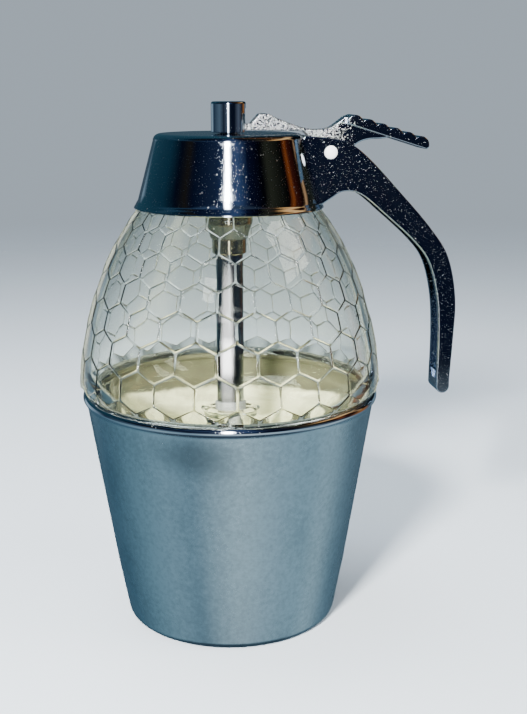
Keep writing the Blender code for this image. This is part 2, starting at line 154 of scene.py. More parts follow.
# Studio: each light's name, place, width, watts and colour, and the pale room
LIGHTS = (("key_light", (-0.30, -0.62, 0.50), 0.12, 30.0, (1.0, 0.98, 0.94)),
          ("side_light", (0.55, -0.25, 0.60), 0.35, 3.0, (1.0, 0.97, 0.92)),
          ("top_light", (-0.20, 0.15, 0.85), 0.50, 6.0, (0.90, 0.95, 1.0)))
LIGHT_AIM = Vector((0, 0, 0.10))
ROOM_COLOUR = (0.62, 0.73, 0.84)
ROOM_STRENGTH = 0.62
FLOOR_WIDTH = 6.0
FLOOR_REACH = 2.0
FLOOR_FADE = (0.30, 1.20)

# Bright strip in the room that the metal reflects, its bearing stretched for finer stops
STRIP_STRENGTH = 100.0
STRIP_MIDDLE = 0.5 - 2.0 / 360
STRIP_STRETCH = 8.0
NARROW_STRIP = ((-7, 0, 0, 0), (-4, 1, 1, 1), (0, 1, 1, 1), (3, 0, 0, 0))

# Colours of the room that the metal reflects, each with its bearing in degrees from the camera's
# side of the room, right positive: low for the cup, level for the handle, high for the lid and
# a warm lamp above for the rounded edges
CAMERA_BEARING = math.radians(6.0)
BACKDROP = (0.40, 0.55, 0.66)
LOW_BAND = ((-180, 0.05, 0.10, 0.15), (-130, 0.07, 0.15, 0.21), (-90, 0.22, 0.35, 0.42),
            (-60, 0.34, 0.48, 0.56), (-35, 0.25, 0.37, 0.45), (-15, 0.52, 0.65, 0.72),
            (10, 0.72, 0.84, 0.90), (40, 0.50, 0.64, 0.72), (75, 0.34, 0.48, 0.56),
            (95, 0.54, 0.68, 0.75), (120, 0.16, 0.25, 0.31), (180, 0.04, 0.08, 0.12))
LEVEL_BAND = ((-180, 0.06, 0.09, 0.12), (-150, 0.06, 0.09, 0.12), (-146, *BACKDROP),
              (-138, *BACKDROP), (-110, 0.02, 0.04, 0.07), (-60, 0.10, 0.15, 0.20),
              (-30, 0.015, 0.022, 0.04), (2, 0.14, 0.18, 0.24), (13, 0.006, 0.009, 0.022),
              (40, 0.004, 0.007, 0.018), (70, 0.10, 0.12, 0.16), (100, 0.01, 0.012, 0.02),
              (120, 0.40, 0.15, 0.04), (134, 0.10, 0.12, 0.14), (142, 0.20, 0.28, 0.34),
              (152, 0.20, 0.28, 0.34), (164, 0.06, 0.09, 0.12), (180, 0.06, 0.09, 0.12))
HIGH_BAND = ((-180, 0.034, 0.090, 0.125), (-95, 0.010, 0.036, 0.060), (-75, 0.002, 0.005, 0.014),
             (-60, 0.014, 0.012, 0.010), (-50, 0.003, 0.006, 0.020), (-18, 0.012, 0.022, 0.055),
             (12, 0.040, 0.075, 0.18), (28, 0.004, 0.006, 0.022), (48, 0.001, 0.001, 0.003),
             (58, 0.026, 0.028, 0.018), (86, 0.001, 0.001, 0.002), (93, 0.25, 0.060, 0.014),
             (98, 0.050, 0.010, 0.006), (112, 0.003, 0.001, 0.001), (117, 0.60, 0.34, 0.16),
             (121, 0.004, 0.002, 0.002), (150, 0.002, 0.004, 0.008), (180, 0.034, 0.080, 0.110))
TOP_BAND = ((-180, 0.03, 0.08, 0.11), (-60, 0.02, 0.05, 0.09), (-20, 0.05, 0.08, 0.15),
            (40, 0.02, 0.03, 0.05), (66, 0.08, 0.04, 0.02), (84, 1.10, 0.60, 0.22),
            (126, 1.10, 0.66, 0.28), (146, 0.05, 0.04, 0.04), (180, 0.03, 0.08, 0.11))


def length_setting(name, description, default):
    """A length that a user would change."""
    return bpy.props.FloatProperty(name=name, description=description, default=default,
                                   unit="LENGTH")


def colour_setting(name, description, default):
    """A colour that a user would change."""
    return bpy.props.FloatVectorProperty(name=name, description=description, default=default,
                                         subtype="COLOR")


class DispenserSizes(bpy.types.PropertyGroup):
    """Sizes that a user would change."""

    bead_radius: length_setting("Bead Radius", "Radius of the cup's rolled rim", 1.7 * MM)
    cup_wall: length_setting("Cup Wall", "Thickness of the cup's metal", 1.0 * MM)
    glass_wall: length_setting("Glass Wall", "Thickness of the jar's glass", 3.0 * MM)
    columns: bpy.props.IntProperty(
        name="Cells Around", description="Honeycomb cells in a row round the jar", default=24)
    rows: bpy.props.IntProperty(
        name="Cell Rows", description="Rows of honeycomb cells up the jar", default=7)
    ridge_width: length_setting("Ridge Width", "Width of a honeycomb ridge at its foot",
                                0.85 * MM)
    ridge_height: length_setting("Ridge Height", "Height of a honeycomb ridge", 0.28 * MM)
    handle_width: length_setting("Handle Width", "Width across the handle's cheeks", 10.6 * MM)
    cheek_thickness: length_setting("Cheek Thickness", "Thickness of the handle's metal",
                                    1.8 * MM)
    lever_width: length_setting("Lever Width", "Width of the lever's arm", 5.2 * MM)
    pad_width: length_setting("Pad Width", "Width of the thumb pad", 10.4 * MM)
    scallops: bpy.props.IntProperty(
        name="Scallops", description="Ridges across the thumb pad", default=6)


class DispenserFinish(bpy.types.PropertyGroup):
    """Colours that a user would change."""

    # The cup colour's blue tint is a painted reflection of the blue cloth round the cup
    satin: colour_setting("Cup Colour", "Colour of the cup's satin metal", (0.48, 0.61, 0.68))
    lining: colour_setting("Cup Lining", "Colour of the inside of the cup", (1.0, 0.96, 0.80))
    chrome: colour_setting("Chrome Colour", "Colour of the polished chrome", (0.62, 0.68, 0.76))
    glass: colour_setting("Glass Colour", "Tint of the jar's glass", (0.91, 0.94, 0.895))
    stopper: colour_setting("Stopper Colour", "Colour of the rubber stopper", (0.20, 0.21, 0.20))
    floor: colour_setting("Floor Colour", "Colour of the studio floor", (0.66, 0.73, 0.80))


# Outlines

def arc(centre, radius, start, end, steps):
    """Points of an arc from one angle to another, in degrees, with both ends."""
    points = []
    for step in range(steps + 1):
        angle = math.radians(start + (end - start) * step / steps)
        points.append((centre[0] + radius * math.cos(angle), centre[1] + radius * math.sin(angle)))
    return points


def smooth_line(points, steps=4):
    """Run a Catmull-Rom line through the points."""
    ends = [points[0]] + list(points) + [points[-1]]
    line = []
    for p0, p1, p2, p3 in zip(ends, ends[1:], ends[2:], ends[3:]):
        for step in range(steps):
            t = step / steps
            line.append(tuple(
                0.5 * (2 * b + (c - a) * t + (2 * a - 5 * b + 4 * c - d) * t ** 2
                       + (3 * b - a - 3 * c + d) * t ** 3)
                for a, b, c, d in zip(p0, p1, p2, p3)))
    line.append(tuple(points[-1]))
    return line


def bearing_stops(band):
    """Ramp stops from rows of a bearing in degrees and a colour."""
    return [(0.5 + bearing / 360, tuple(colour)) for bearing, *colour in band]


def offset_line(points, distance):
    """Move a line sideways, to the right of its own direction."""
    moved = []
    for index, point in enumerate(points):
        before = Vector(points[max(index - 1, 0)])
        after = Vector(points[min(index + 1, len(points) - 1)])
        along = (after - before).normalized()
        moved.append((point[0] + along.y * distance, point[1] - along.x * distance))
    return moved


def metres(points):
    """Scale outline points in millimetres to metres."""
    return [(x * MM, z * MM) for x, z in points]


def even_lengths(start, end, steps):
    """Evenly spaced lengths in metres between two in millimetres, with both ends."""
    return [(start + (end - start) * step / steps) * MM for step in range(steps + 1)]


def shoulder_radius(height):
    """Outer radius of the jar at a height above its widest line."""
    rise = max(height - SHOULDER_FOOT, 0.0) / SHOULDER_RISE
    return JAR_RADIUS - SHOULDER_ROUND * rise ** 1.4 - SHOULDER_DROP * rise ** 4


# Modelling steps

def deselect():
    """Leave nothing selected."""
    for obj in bpy.context.selected_objects:
        obj.select_set(False)


def select_only(*objects):
    """Select these objects and make the first one active."""
    deselect()
    for obj in objects:
        obj.select_set(True)
    bpy.context.view_layer.objects.active = objects[0]


def named(name):
    """Name the object that was just added, apply its place and size to its mesh and return it."""
    obj = bpy.context.active_object
    obj.name = name
    obj.data.name = name
    bpy.ops.object.transform_apply(location=True, rotation=True, scale=True)
    return obj


def edit_mode():
    """Open the active mesh for editing with all of it selected."""
    bpy.ops.object.mode_set(mode="EDIT")
    bpy.ops.mesh.select_mode(type="VERT")
    bpy.ops.mesh.select_all(action="SELECT")


def object_mode():
    """Close the active mesh."""
    bpy.ops.object.mode_set(mode="OBJECT")


def open_mesh():
    """The open mesh as a bmesh."""
    return bmesh.from_edit_mesh(bpy.context.edit_object.data)


def update_mesh():
    """Show what was changed in the open mesh."""
    bmesh.update_edit_mesh(bpy.context.edit_object.data)


def pick(test):
    """Select the vertices of the open mesh whose place passes the test, with their edges."""
    bpy.ops.mesh.select_all(action="DESELECT")
    work = open_mesh()
    for vert in work.verts:
        vert.select = test(vert.co)
    work.select_flush(True)
    update_mesh()


def pick_rim(test):
    """Select the open edges of the open mesh whose middle passes the test."""
    bpy.ops.mesh.select_all(action="DESELECT")
    bpy.ops.mesh.select_mode(type="EDGE")
    work = open_mesh()
    for edge in work.edges:
        middle = (edge.verts[0].co + edge.verts[1].co) / 2
        edge.select = edge.is_boundary and test(middle)
    work.select_flush_mode()
    update_mesh()


def settle_ring(radius, height):
    """Move the selected vertices to a circle round the Z axis."""
    for vert in open_mesh().verts:
        if vert.select:
            flat = Vector((vert.co.x, vert.co.y)).normalized() * radius
            vert.co = (flat.x, flat.y, height)
    update_mesh()


def draw_rings(profile):
    """Extrude the selected ring through each (radius, height) of a profile."""
    for radius, height in profile:
        bpy.ops.mesh.extrude_region_move()
        settle_ring(radius, height)


def tidy_mesh():
    """Merge doubles and turn the faces of the open mesh outwards."""
    bpy.ops.mesh.select_all(action="SELECT")
    bpy.ops.mesh.remove_doubles(threshold=WELD)
    bpy.ops.mesh.normals_make_consistent(inside=False)


def turned(name, profile, segments, loop=False):
    """Turn a profile of (radius, height) points about Z by drawing a circle out ring by ring.

    A loop profile closes on its own start, and any other is capped at both ends."""
    deselect()
    radius, height = profile[0]
    bpy.ops.mesh.primitive_circle_add(vertices=segments, radius=radius, location=(0, 0, height))
    piece = named(name)
    edit_mode()
    if not loop:
        bpy.ops.mesh.edge_face_add()
        bpy.ops.mesh.inset(thickness=radius * 0.02)
        pick(lambda co: Vector((co.x, co.y)).length > radius * 0.99)
    draw_rings(profile[1:])
    if loop:
        bpy.ops.mesh.extrude_region_move()
        settle_ring(radius, height)
    else:
        bpy.ops.mesh.edge_face_add()
    tidy_mesh()
    object_mode()
    return piece


def cut_plate(name, outline, width):
    """Draw an upright outline of (x, z) points, fill it and extrude it to a centred width."""
    deselect()
    x, z = outline[0]
    bpy.ops.mesh.primitive_plane_add(size=MM, location=(x, -width / 2, z))
    piece = named(name)
    edit_mode()
    bpy.ops.mesh.merge(type="CENTER")
    for (x0, z0), (x1, z1) in zip(outline, outline[1:]):
        bpy.ops.mesh.extrude_region_move(TRANSFORM_OT_translate={"value": (x1 - x0, 0, z1 - z0)})
    bpy.ops.mesh.select_all(action="SELECT")
    bpy.ops.mesh.edge_face_add()
    bpy.ops.mesh.extrude_region_move(TRANSFORM_OT_translate={"value": (0, width, 0)})
    tidy_mesh()
    object_mode()
    return piece


def add_modifier(piece, kind, **settings):
    """Add a modifier and apply it."""
    select_only(piece)
    modifier = piece.modifiers.new(kind.lower(), kind)
    for key, value in settings.items():
        setattr(modifier, key, value)
    bpy.ops.object.modifier_apply(modifier=modifier.name)


def combine(piece, other, operation):
    """Join another solid to a piece or cut it out, and delete the other solid."""
    add_modifier(piece, "BOOLEAN", object=other, operation=operation, solver="EXACT")
    bpy.data.objects.remove(other, do_unlink=True)


def round_edges(piece, width, segments=3):
    """Bevel the sharp edges."""
    add_modifier(piece, "BEVEL", width=width, segments=segments, limit_method="ANGLE",
                 angle_limit=SHARP_EDGE, use_clamp_overlap=True)


def cross_pin(name, radius, width):
    """A cylinder along Y on the lever's pivot."""
    deselect()
    bpy.ops.mesh.primitive_cylinder_add(vertices=48, radius=radius, depth=width, location=PIVOT,
                                        rotation=(math.radians(90), 0, 0))
    return named(name)


def block(name, low, high):
    """A box between two corners."""
    deselect()
    middle = [(a + b) / 2 for a, b in zip(low, high)]
    size = [b - a for a, b in zip(low, high)]
    bpy.ops.mesh.primitive_cube_add(size=1.0, location=middle, scale=size)
    return named(name)


def finish_piece(piece, material, node, body="dispenser", smooth=30.0):
    """Shade a piece, give it its material and say what it rides on and replaces."""
    select_only(piece)
    bpy.ops.object.shade_smooth_by_angle(angle=math.radians(smooth))
    add_modifier(piece, "WEIGHTED_NORMAL", keep_sharp=True, weight=60)
    piece.data.materials.clear()
    piece.data.materials.append(material)
    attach(piece, body)
    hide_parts(node)


# Materials

class Nodes:
    """A node tree with helpers for procedural patterns."""

    def __init__(self, tree):
        self.tree = tree

    def node(self, kind, **settings):
        """Add a shader node with its settings."""
        made = self.tree.nodes.new("ShaderNode" + kind)
        for key, value in settings.items():
            setattr(made, key, value)
        return made

    def link(self, source, socket):
        """Link an output to an input."""
        self.tree.links.new(source, socket)

    def put(self, value, socket):
        """Link an output to an input, or set the input to a number or a colour."""
        if isinstance(value, bpy.types.NodeSocket):
            self.link(value, socket)
        else:
            socket.default_value = (*value, 1.0) if isinstance(value, tuple) else value

    def math(self, operation, first, second, third=0.0):
        """A sum, product or other result of two or three values or sockets."""
        node = self.node("Math", operation=operation)
        for socket, value in zip(node.inputs, (first, second, third)):
            self.put(value, socket)
        return node.outputs["Value"]

    def axes(self, vector):
        """The X, Y and Z of a vector."""
        split = self.node("SeparateXYZ")
        self.link(vector, split.inputs["Vector"])
        return split.outputs

    def mapping(self, vector, scale=(1, 1, 1), turn=0.0):
        """A vector scaled along each axis and turned about Z."""
        mapping = self.node("Mapping")
        mapping.inputs["Scale"].default_value = scale
        mapping.inputs["Rotation"].default_value = (0.0, 0.0, turn)
        self.link(vector, mapping.inputs["Vector"])
        return mapping.outputs["Vector"]

    def ramp(self, source, stops=((0.0, 0.0), (1.0, 1.0))):
        """Colour ramp over a factor, with stops of (place, value or colour)."""
        ramp = self.node("ValToRGB")
        elements = ramp.color_ramp.elements
        while len(elements) < len(stops):
            elements.new(0.5)
        for element, (place, colour) in zip(elements, stops):
            element.position = place
            shade = colour if isinstance(colour, tuple) else (colour, colour, colour)
            element.color = (*shade, 1.0)
        self.link(source, ramp.inputs["Fac"])
        return ramp.outputs["Color"]

    def mix(self, factor, first, second):
        """Mix two colours by a factor."""
        mix = self.node("Mix", data_type="RGBA")
        self.link(factor, mix.inputs["Factor"])
        colours = [item for item in mix.inputs if item.type == "RGBA"]
        self.put(first, colours[0])
        self.put(second, colours[1])
        return next(item for item in mix.outputs if item.type == "RGBA")

    def background(self, colour, strength):
        """A background shader, its colour given or from an output."""
        made = self.node("Background")
        made.inputs["Strength"].default_value = strength
        self.put(colour, made.inputs["Color"])
        return made

    def mix_shaders(self, factor, first, second, output):
        """Mix two shader nodes by a factor and link them to the tree's output node."""
        mix = self.node("MixShader")
        self.link(factor, mix.inputs["Fac"])
        self.link(first.outputs[0], mix.inputs[1])
        self.link(second.outputs[0], mix.inputs[2])
        self.link(mix.outputs["Shader"], self.tree.nodes[output].inputs["Surface"])


class Shader(Nodes):
    """A Principled material with patterns in the piece's own coordinates."""

    def __init__(self, name):
        self.material = bpy.data.materials.new(name)
        self.material.use_nodes = True
        super().__init__(self.material.node_tree)
        self.principled = self.tree.nodes["Principled BSDF"]
        self.place = self.node("TexCoord").outputs["Object"]

    def set(self, **values):
        """Set constant sockets of the Principled shader."""
        for key, value in values.items():
            self.principled.inputs[key.replace("_", " ")].default_value = value

    def feed(self, source, socket):
        """Link an output to a socket of the Principled shader."""
        self.link(source, self.principled.inputs[socket])

    def noise(self, scale, detail, roughness, stretch=(1, 1, 1)):
        """Noise of about 1/scale metres a feature."""
        noise = self.node("TexNoise")
        noise.inputs["Scale"].default_value = scale
        noise.inputs["Detail"].default_value = detail
        noise.inputs["Roughness"].default_value = roughness
        self.link(self.mapping(self.place, stretch), noise.inputs["Vector"])
        return noise.outputs["Fac"]

    def pits(self, scale, share):
        """Small round spots: 1 inside, 0 outside, on a share of the cells."""
        cells = self.node("TexVoronoi", feature="F1")
        cells.inputs["Scale"].default_value = scale
        self.link(self.place, cells.inputs["Vector"])
        spot = self.ramp(cells.outputs["Distance"], [(0.18, 1.0), (0.34, 0.0)])
        chosen = self.ramp(cells.outputs["Color"], [(1 - share - 0.02, 0.0), (1 - share, 1.0)])
        return self.math("MULTIPLY", spot, chosen)

    def bump(self, height, strength, distance):
        """Bump the surface by a height factor."""
        bump = self.node("Bump")
        bump.inputs["Strength"].default_value = strength
        bump.inputs["Distance"].default_value = distance
        self.link(height, bump.inputs["Height"])
        self.feed(bump.outputs["Normal"], "Normal")


def toned(colour, share):
    """A colour made darker or lighter by a share."""
    return tuple(min(1.0, share * part) for part in colour)


def after_metal(nodes):
    """1 for light that has already been reflected by a glossy surface, otherwise 0."""
    bounces = nodes.node("LightPath").outputs["Glossy Depth"]
    return nodes.math("GREATER_THAN", bounces, 0.5)


def chrome(name, colour, flecks, haze, span=None, density=0.0, metallic=1.0,
           grain_scale=2300.0):
    """Polished chrome with small pits and pale flecks, denser by a density towards the span's end.

    The span is a start and an end along X in metres."""
    shader = Shader(name)
    shader.set(Metallic=metallic)
    grain = shader.noise(grain_scale, 4.0, 0.7)
    if span:
        start, end = span
        along = shader.axes(shader.place)["X"]
        reach = shader.math("MULTIPLY_ADD", along, 1 / (end - start), start / (start - end))
        grain = shader.math("MULTIPLY_ADD", shader.ramp(reach), density, grain)
    worn = shader.ramp(grain, [(0.64, 0.0), (0.70, flecks)])
    spots = shader.math("MAXIMUM", shader.pits(1100.0, 0.10), worn)
    shader.feed(shader.mix(spots, tuple(colour), FLECK_COLOUR), "Base Color")
    cloud = shader.ramp(shader.noise(160.0, 5.0, 0.65), [(0.42, haze), (0.72, haze + 0.05)])
    shader.feed(shader.math("MULTIPLY_ADD", spots, 0.6, cloud), "Roughness")
    scratches = shader.noise(1100.0, 3.0, 0.6, (1, 1, 0.07))
    relief = shader.math("MULTIPLY_ADD", spots, -0.8, scratches)
    shader.bump(relief, 0.12, 0.1 * MM)
    return shader.material


def satin_metal(name, colour):
    """Satin metal, faintly brushed round the cup and cloudy, with a mottle of painted reflection,
    a dark patch and a painted highlight line.
    """
    shader = Shader(name)
    shader.set(Metallic=1.0)
    cloud = shader.noise(55.0, 6.0, 0.6, (1, 1, 0.6))
    grain = shader.noise(650.0, 4.0, 0.65)
    # Mottle between darker and lighter tones of the metal: painted reflection of a mottled cloth
    painted_reflection_mottle = shader.math("MULTIPLY_ADD", grain, 0.55, shader.math("MULTIPLY", cloud, 0.45))
    light = toned(colour, 1.12)
    base = shader.mix(shader.ramp(painted_reflection_mottle, [(0.40, 0.0), (0.60, 1.0)]), toned(colour, 0.84), light)
    near = shader.node("VectorMath", operation="DISTANCE")
    shader.link(shader.mapping(shader.place, (1, 1, DARK_PATCH_FLATNESS)), near.inputs[0])
    x, y, z = DARK_PATCH_PLACE
    near.inputs[1].default_value = (x, y, DARK_PATCH_FLATNESS * z)
    reach = shader.math("MULTIPLY_ADD", near.outputs["Value"], 1 / DARK_PATCH_REACH,
                        shader.math("MULTIPLY_ADD", cloud, 0.8, -0.4))
    darkened = shader.mix(shader.ramp(reach, [(0.25, 0.62), (1.0, 0.0)]), base,
                         toned(colour, 0.34))
    # Pale line round the cup a little below the bead: painted highlight
    line = shader.ramp(shader.math("MULTIPLY", shader.axes(shader.place)["Z"], 10.0),
                       [(0.752, 0.0), (0.762, 0.45), (0.770, 0.45), (0.780, 0.0)])
    shader.feed(shader.mix(line, darkened, light), "Base Color")
    shader.feed(shader.ramp(cloud, [(0.35, 0.22), (0.7, 0.34)]), "Roughness")
    shader.bump(shader.noise(420.0, 3.0, 0.6, (1, 1, 9)), 0.06, 0.04 * MM)
    return shader.material


def lining_metal(name, colour):
    """Warm pale metal low inside the cup, with painted shade in grey brown above it."""
    shader = Shader(name)
    shader.set(Metallic=0.1)
    cloud = shader.noise(70.0, 5.0, 0.6)
    ragged = shader.math("MULTIPLY_ADD", shader.noise(160.0, 6.0, 0.75), 8.0 * MM,
                         shader.axes(shader.place)["Z"])
    # Above the lining's ragged top the colour turns to a grey brown painted shade
    painted_shade = shader.math("MULTIPLY_ADD", ragged, 250.0, -250.0 * LINING_TOP)
    warm = shader.mix(shader.ramp(cloud, [(0.42, 0.0), (0.56, 1.0)]),
                      toned(colour, 0.72), tuple(colour))
    brown = shader.mix(cloud, (0.04, 0.038, 0.028), (0.13, 0.12, 0.085))
    shader.feed(shader.mix(shader.ramp(painted_shade), warm, brown), "Base Color")
    shader.feed(shader.ramp(cloud, [(0.3, 0.32), (0.7, 0.48)]), "Roughness")
    return shader.material


def clear_glass(name, colour):
    """Pressed glass with slight waves, paler where it is seen edge on and greener at its heel."""
    shader = Shader(name)
    shader.set(IOR=1.5, Roughness=0.0)
    heel = shader.ramp(shader.math("MULTIPLY", shader.axes(shader.place)["Z"], 10.0),
                       [(0.80, 1.0), (0.86, 0.0)])
    edge = shader.node("LayerWeight")
    edge.inputs["Blend"].default_value = 0.5
    rim = shader.ramp(edge.outputs["Facing"], [(0.70, 0.0), (0.93, 1.0)])
    body = shader.mix(heel, tuple(colour), (0.80, 0.84, 0.68))
    shader.feed(shader.mix(rim, body, (0.86, 0.92, 0.66)), "Base Color")
    clear = shader.ramp(edge.outputs["Facing"], [(0.74, 1.0), (0.93, 0.40)])
    shader.feed(clear, "Transmission Weight")
    shader.bump(shader.noise(90.0, 2.0, 0.5), 0.12, 0.3 * MM)
    return shader.material


def rubber(name, colour):
    """Dull grey rubber."""
    shader = Shader(name)
    cloud = shader.noise(300.0, 4.0, 0.6)
    shader.feed(shader.mix(cloud, toned(colour, 0.75), tuple(colour)), "Base Color")
    shader.feed(shader.ramp(cloud, [(0.3, 0.45), (0.7, 0.65)]), "Roughness")
    return shader.material


# Pieces

class AddPiece:
    """Shared by the operators, which each build from the scene's sizes and colours."""

    def execute(self, context):
        self.build(context.scene.dispenser_sizes, context.scene.dispenser_finish)
        return {"FINISHED"}


class DISPENSER_OT_cup(AddPiece, bpy.types.Operator):
    """Tapered metal cup with a rolled bead, satin outside and pale inside"""

    bl_idname = "dispenser.cup"
    bl_label = "Add Cup"

    def build(self, sizes, finish):
        wall, bead_radius = sizes.cup_wall, sizes.bead_radius
        bead = (CUP_RIM_RADIUS - bead_radius, CUP_HIGH[2] - bead_radius)
        bend_place = CUP_FOOT_RADIUS - CUP_BEND
        profile = [(30.0 * MM, 0.0)]
        profile += arc((bend_place, CUP_BEND), CUP_BEND, -90, -CUP_TAPER, 8)
        profile += self.side(0.0, bead[1], (0.25, 0.5, 0.75, 0.97))
        profile += arc(bead, bead_radius, -62, 252, 24)
        profile += self.side(-wall, bead[1], (0.93, 0.75, 0.5, 0.25))
        profile += arc((bend_place, CUP_BEND + 0.2 * MM), CUP_BEND - wall, -CUP_TAPER, -90, 5)
        profile.append((6.0 * MM, 1.2 * MM))
        cup = turned("cup", profile, segments=160)
        lining = lining_metal("cup_lining", finish.lining)
        outside = satin_metal("satin_cup", finish.satin)
        bright = chrome("bead_chrome", finish.chrome, 0.3, 0.03)
        finish_piece(cup, outside, "holder_cup")
        cup.data.materials.append(bright)
        cup.data.materials.append(lining)
        self.spread_metals(cup, wall, bead)

    def side(self, shift, bead_height, shares):
        """Points up the tapered wall, moved outwards by a shift."""
        return [(CUP_FOOT_RADIUS + shift + CUP_FLARE * share, bead_height * share)
                for share in shares]

    def spread_metals(self, cup, wall, bead):
        """Give the bead the second metal and the inside the third."""
        for face in cup.data.polygons:
            height = face.center.z
            radius = math.hypot(face.center.x, face.center.y)
            outer_wall = CUP_FOOT_RADIUS + CUP_FLARE * height / bead[1] - 0.5 * wall
            past_bend = radius - CUP_FOOT_RADIUS + CUP_BEND
            if height < CUP_BEND and past_bend > 0:
                inside = math.hypot(past_bend, CUP_BEND - height) < CUP_BEND - 0.4 * wall
            else:
                inside = height > 0.6 * MM and radius < outer_wall
            if height > bead[1] - BRIGHT_RIM_DROP and radius > bead[0] - 0.6 * MM:
                face.material_index = 1
            elif inside:
                face.material_index = 2


class DISPENSER_OT_jar(AddPiece, bpy.types.Operator):
    """Clear glass jar with a raised honeycomb round its shoulder"""

    bl_idname = "dispenser.jar"
    bl_label = "Add Jar"

    def build(self, sizes, finish):
        jar = self.honeycomb(sizes)
        self.wrap(jar, sizes)
        self.draw_body(jar, sizes.glass_wall)
        glass = clear_glass("clear_glass", finish.glass)
        finish_piece(jar, glass, "jar", smooth=40.0)
        jar.visible_shadow = False

    def honeycomb(self, sizes):
        """Flat sheet of six-sided cells with rounded ridges, one unit from centre to corner."""
        deselect()
        bpy.ops.mesh.primitive_circle_add(vertices=6, radius=1.0, fill_type="TRIFAN")
        sheet = named("glass_jar")
        cell_width = math.tau * JAR_RADIUS / sizes.columns
        unit = cell_width / math.sqrt(3)
        half_ridge = 0.5 * sizes.ridge_width / unit
        edit_mode()
        bpy.ops.mesh.subdivide(number_cuts=3)
        for share, height in ((0.22, 0.85), (0.28, 0.45), (0.25, 0.12), (0.25, 0.0), (0.3, 0.0)):
            bpy.ops.mesh.select_all(action="DESELECT")
            self.pick_panel()
            bpy.ops.mesh.inset(thickness=share * half_ridge, use_boundary=True)
            self.lower_panel(height)
        object_mode()
        steps = ((sizes.columns, (math.sqrt(3), 0, 0)), ((sizes.rows + 1) // 2, (0, 3.0, 0)))
        for cells, step in steps:
            add_modifier(sheet, "ARRAY", count=cells, use_relative_offset=False,
                         use_constant_offset=True, constant_offset_displace=step)
        return sheet

    def pick_panel(self):
        """Select the three-sided faces, which are the cell's panel inside its ridge."""
        for face in open_mesh().faces:
            if len(face.verts) == 3:
                face.select_set(True)
        update_mesh()

    def lower_panel(self, height):
        """Put the selected panel at a share of the ridge's height."""
        for vert in open_mesh().verts:
            if vert.select:
                vert.co.z = height - 1.0
        update_mesh()

    def wrap(self, sheet, sizes):
        """Add the rows between, and bend the sheet round the jar's shoulder."""
        select_only(sheet)
        bpy.ops.object.duplicate()
        between = bpy.context.active_object
        for vert in between.data.vertices:
            vert.co.x += math.sqrt(3) / 2
            vert.co.y += 1.5
        select_only(sheet, between)
        bpy.ops.object.join()
        edit_mode()
        pick(lambda co: co.y > 1.5 * (sizes.rows - 1) + 1.2)
        bpy.ops.mesh.delete(type="VERT")
        tidy_mesh()
        object_mode()
        for vert in sheet.data.vertices:
            x, y, relief = vert.co
            angle = FIRST_CELL_ANGLE + x / math.sqrt(3) * math.tau / sizes.columns
            row = y / 1.5
            height = FIRST_ROW_HEIGHT + ROW_PITCH * row - ROW_SQUEEZE * row * abs(row)
            radius = shoulder_radius(height) + relief * sizes.ridge_height
            vert.co = (radius * math.cos(angle), radius * math.sin(angle), height)

    def draw_body(self, jar, wall):
        """Draw the heel, floor and outlet below the honeycomb, and the neck and inside above."""
        middle = (JAR_LOW[2] + JAR_HIGH[2]) / 2 + 5.0 * MM
        select_only(jar)
        edit_mode()
        tidy_mesh()
        pick_rim(lambda co: co.z > middle)
        draw_rings([(25.0 * MM, 147.0 * MM), (NECK_RADIUS, NECK_FOOT), (NECK_RADIUS, JAR_HIGH[2]),
                    (NECK_RADIUS - wall, JAR_HIGH[2]), (NECK_RADIUS - wall, NECK_FOOT)])
        inside = [(shoulder_radius(height - 0.6 * wall) - wall, height)
                  for height in even_lengths(144.0, 87.0, 19)]
        inside += metres(smooth_line([(47.0, 84.0), (44.6, 78.0), (40.6, 72.2), (34.0, 69.4),
                                      (18.0, 68.2), (8.4, 67.9)]))
        inside += [(SEAT_RADIUS, SEAT_TOP), (OUTLET_RADIUS, SEAT_FOOT), (OUTLET_RADIUS, 57.4 * MM)]
        inside += metres([(4.8, 57.0), (8.6, 57.0), (9.4, 57.8), (9.8, 62.6), (10.8, 63.6)])
        inside += metres(smooth_line([(16.0, 64.0), (30.0, 65.0), (37.6, 66.6), (43.4, 70.2),
                                      (45.6, 74.4), (46.1, 78.2)]))
        inside += metres(smooth_line([(46.5, 79.6), (48.3, 80.75), (49.6, 81.6)]))
        draw_rings(inside)
        bpy.ops.mesh.select_mode(type="EDGE")
        pick_rim(lambda co: co.z < middle)
        bpy.ops.mesh.bridge_edge_loops()
        tidy_mesh()
        object_mode()


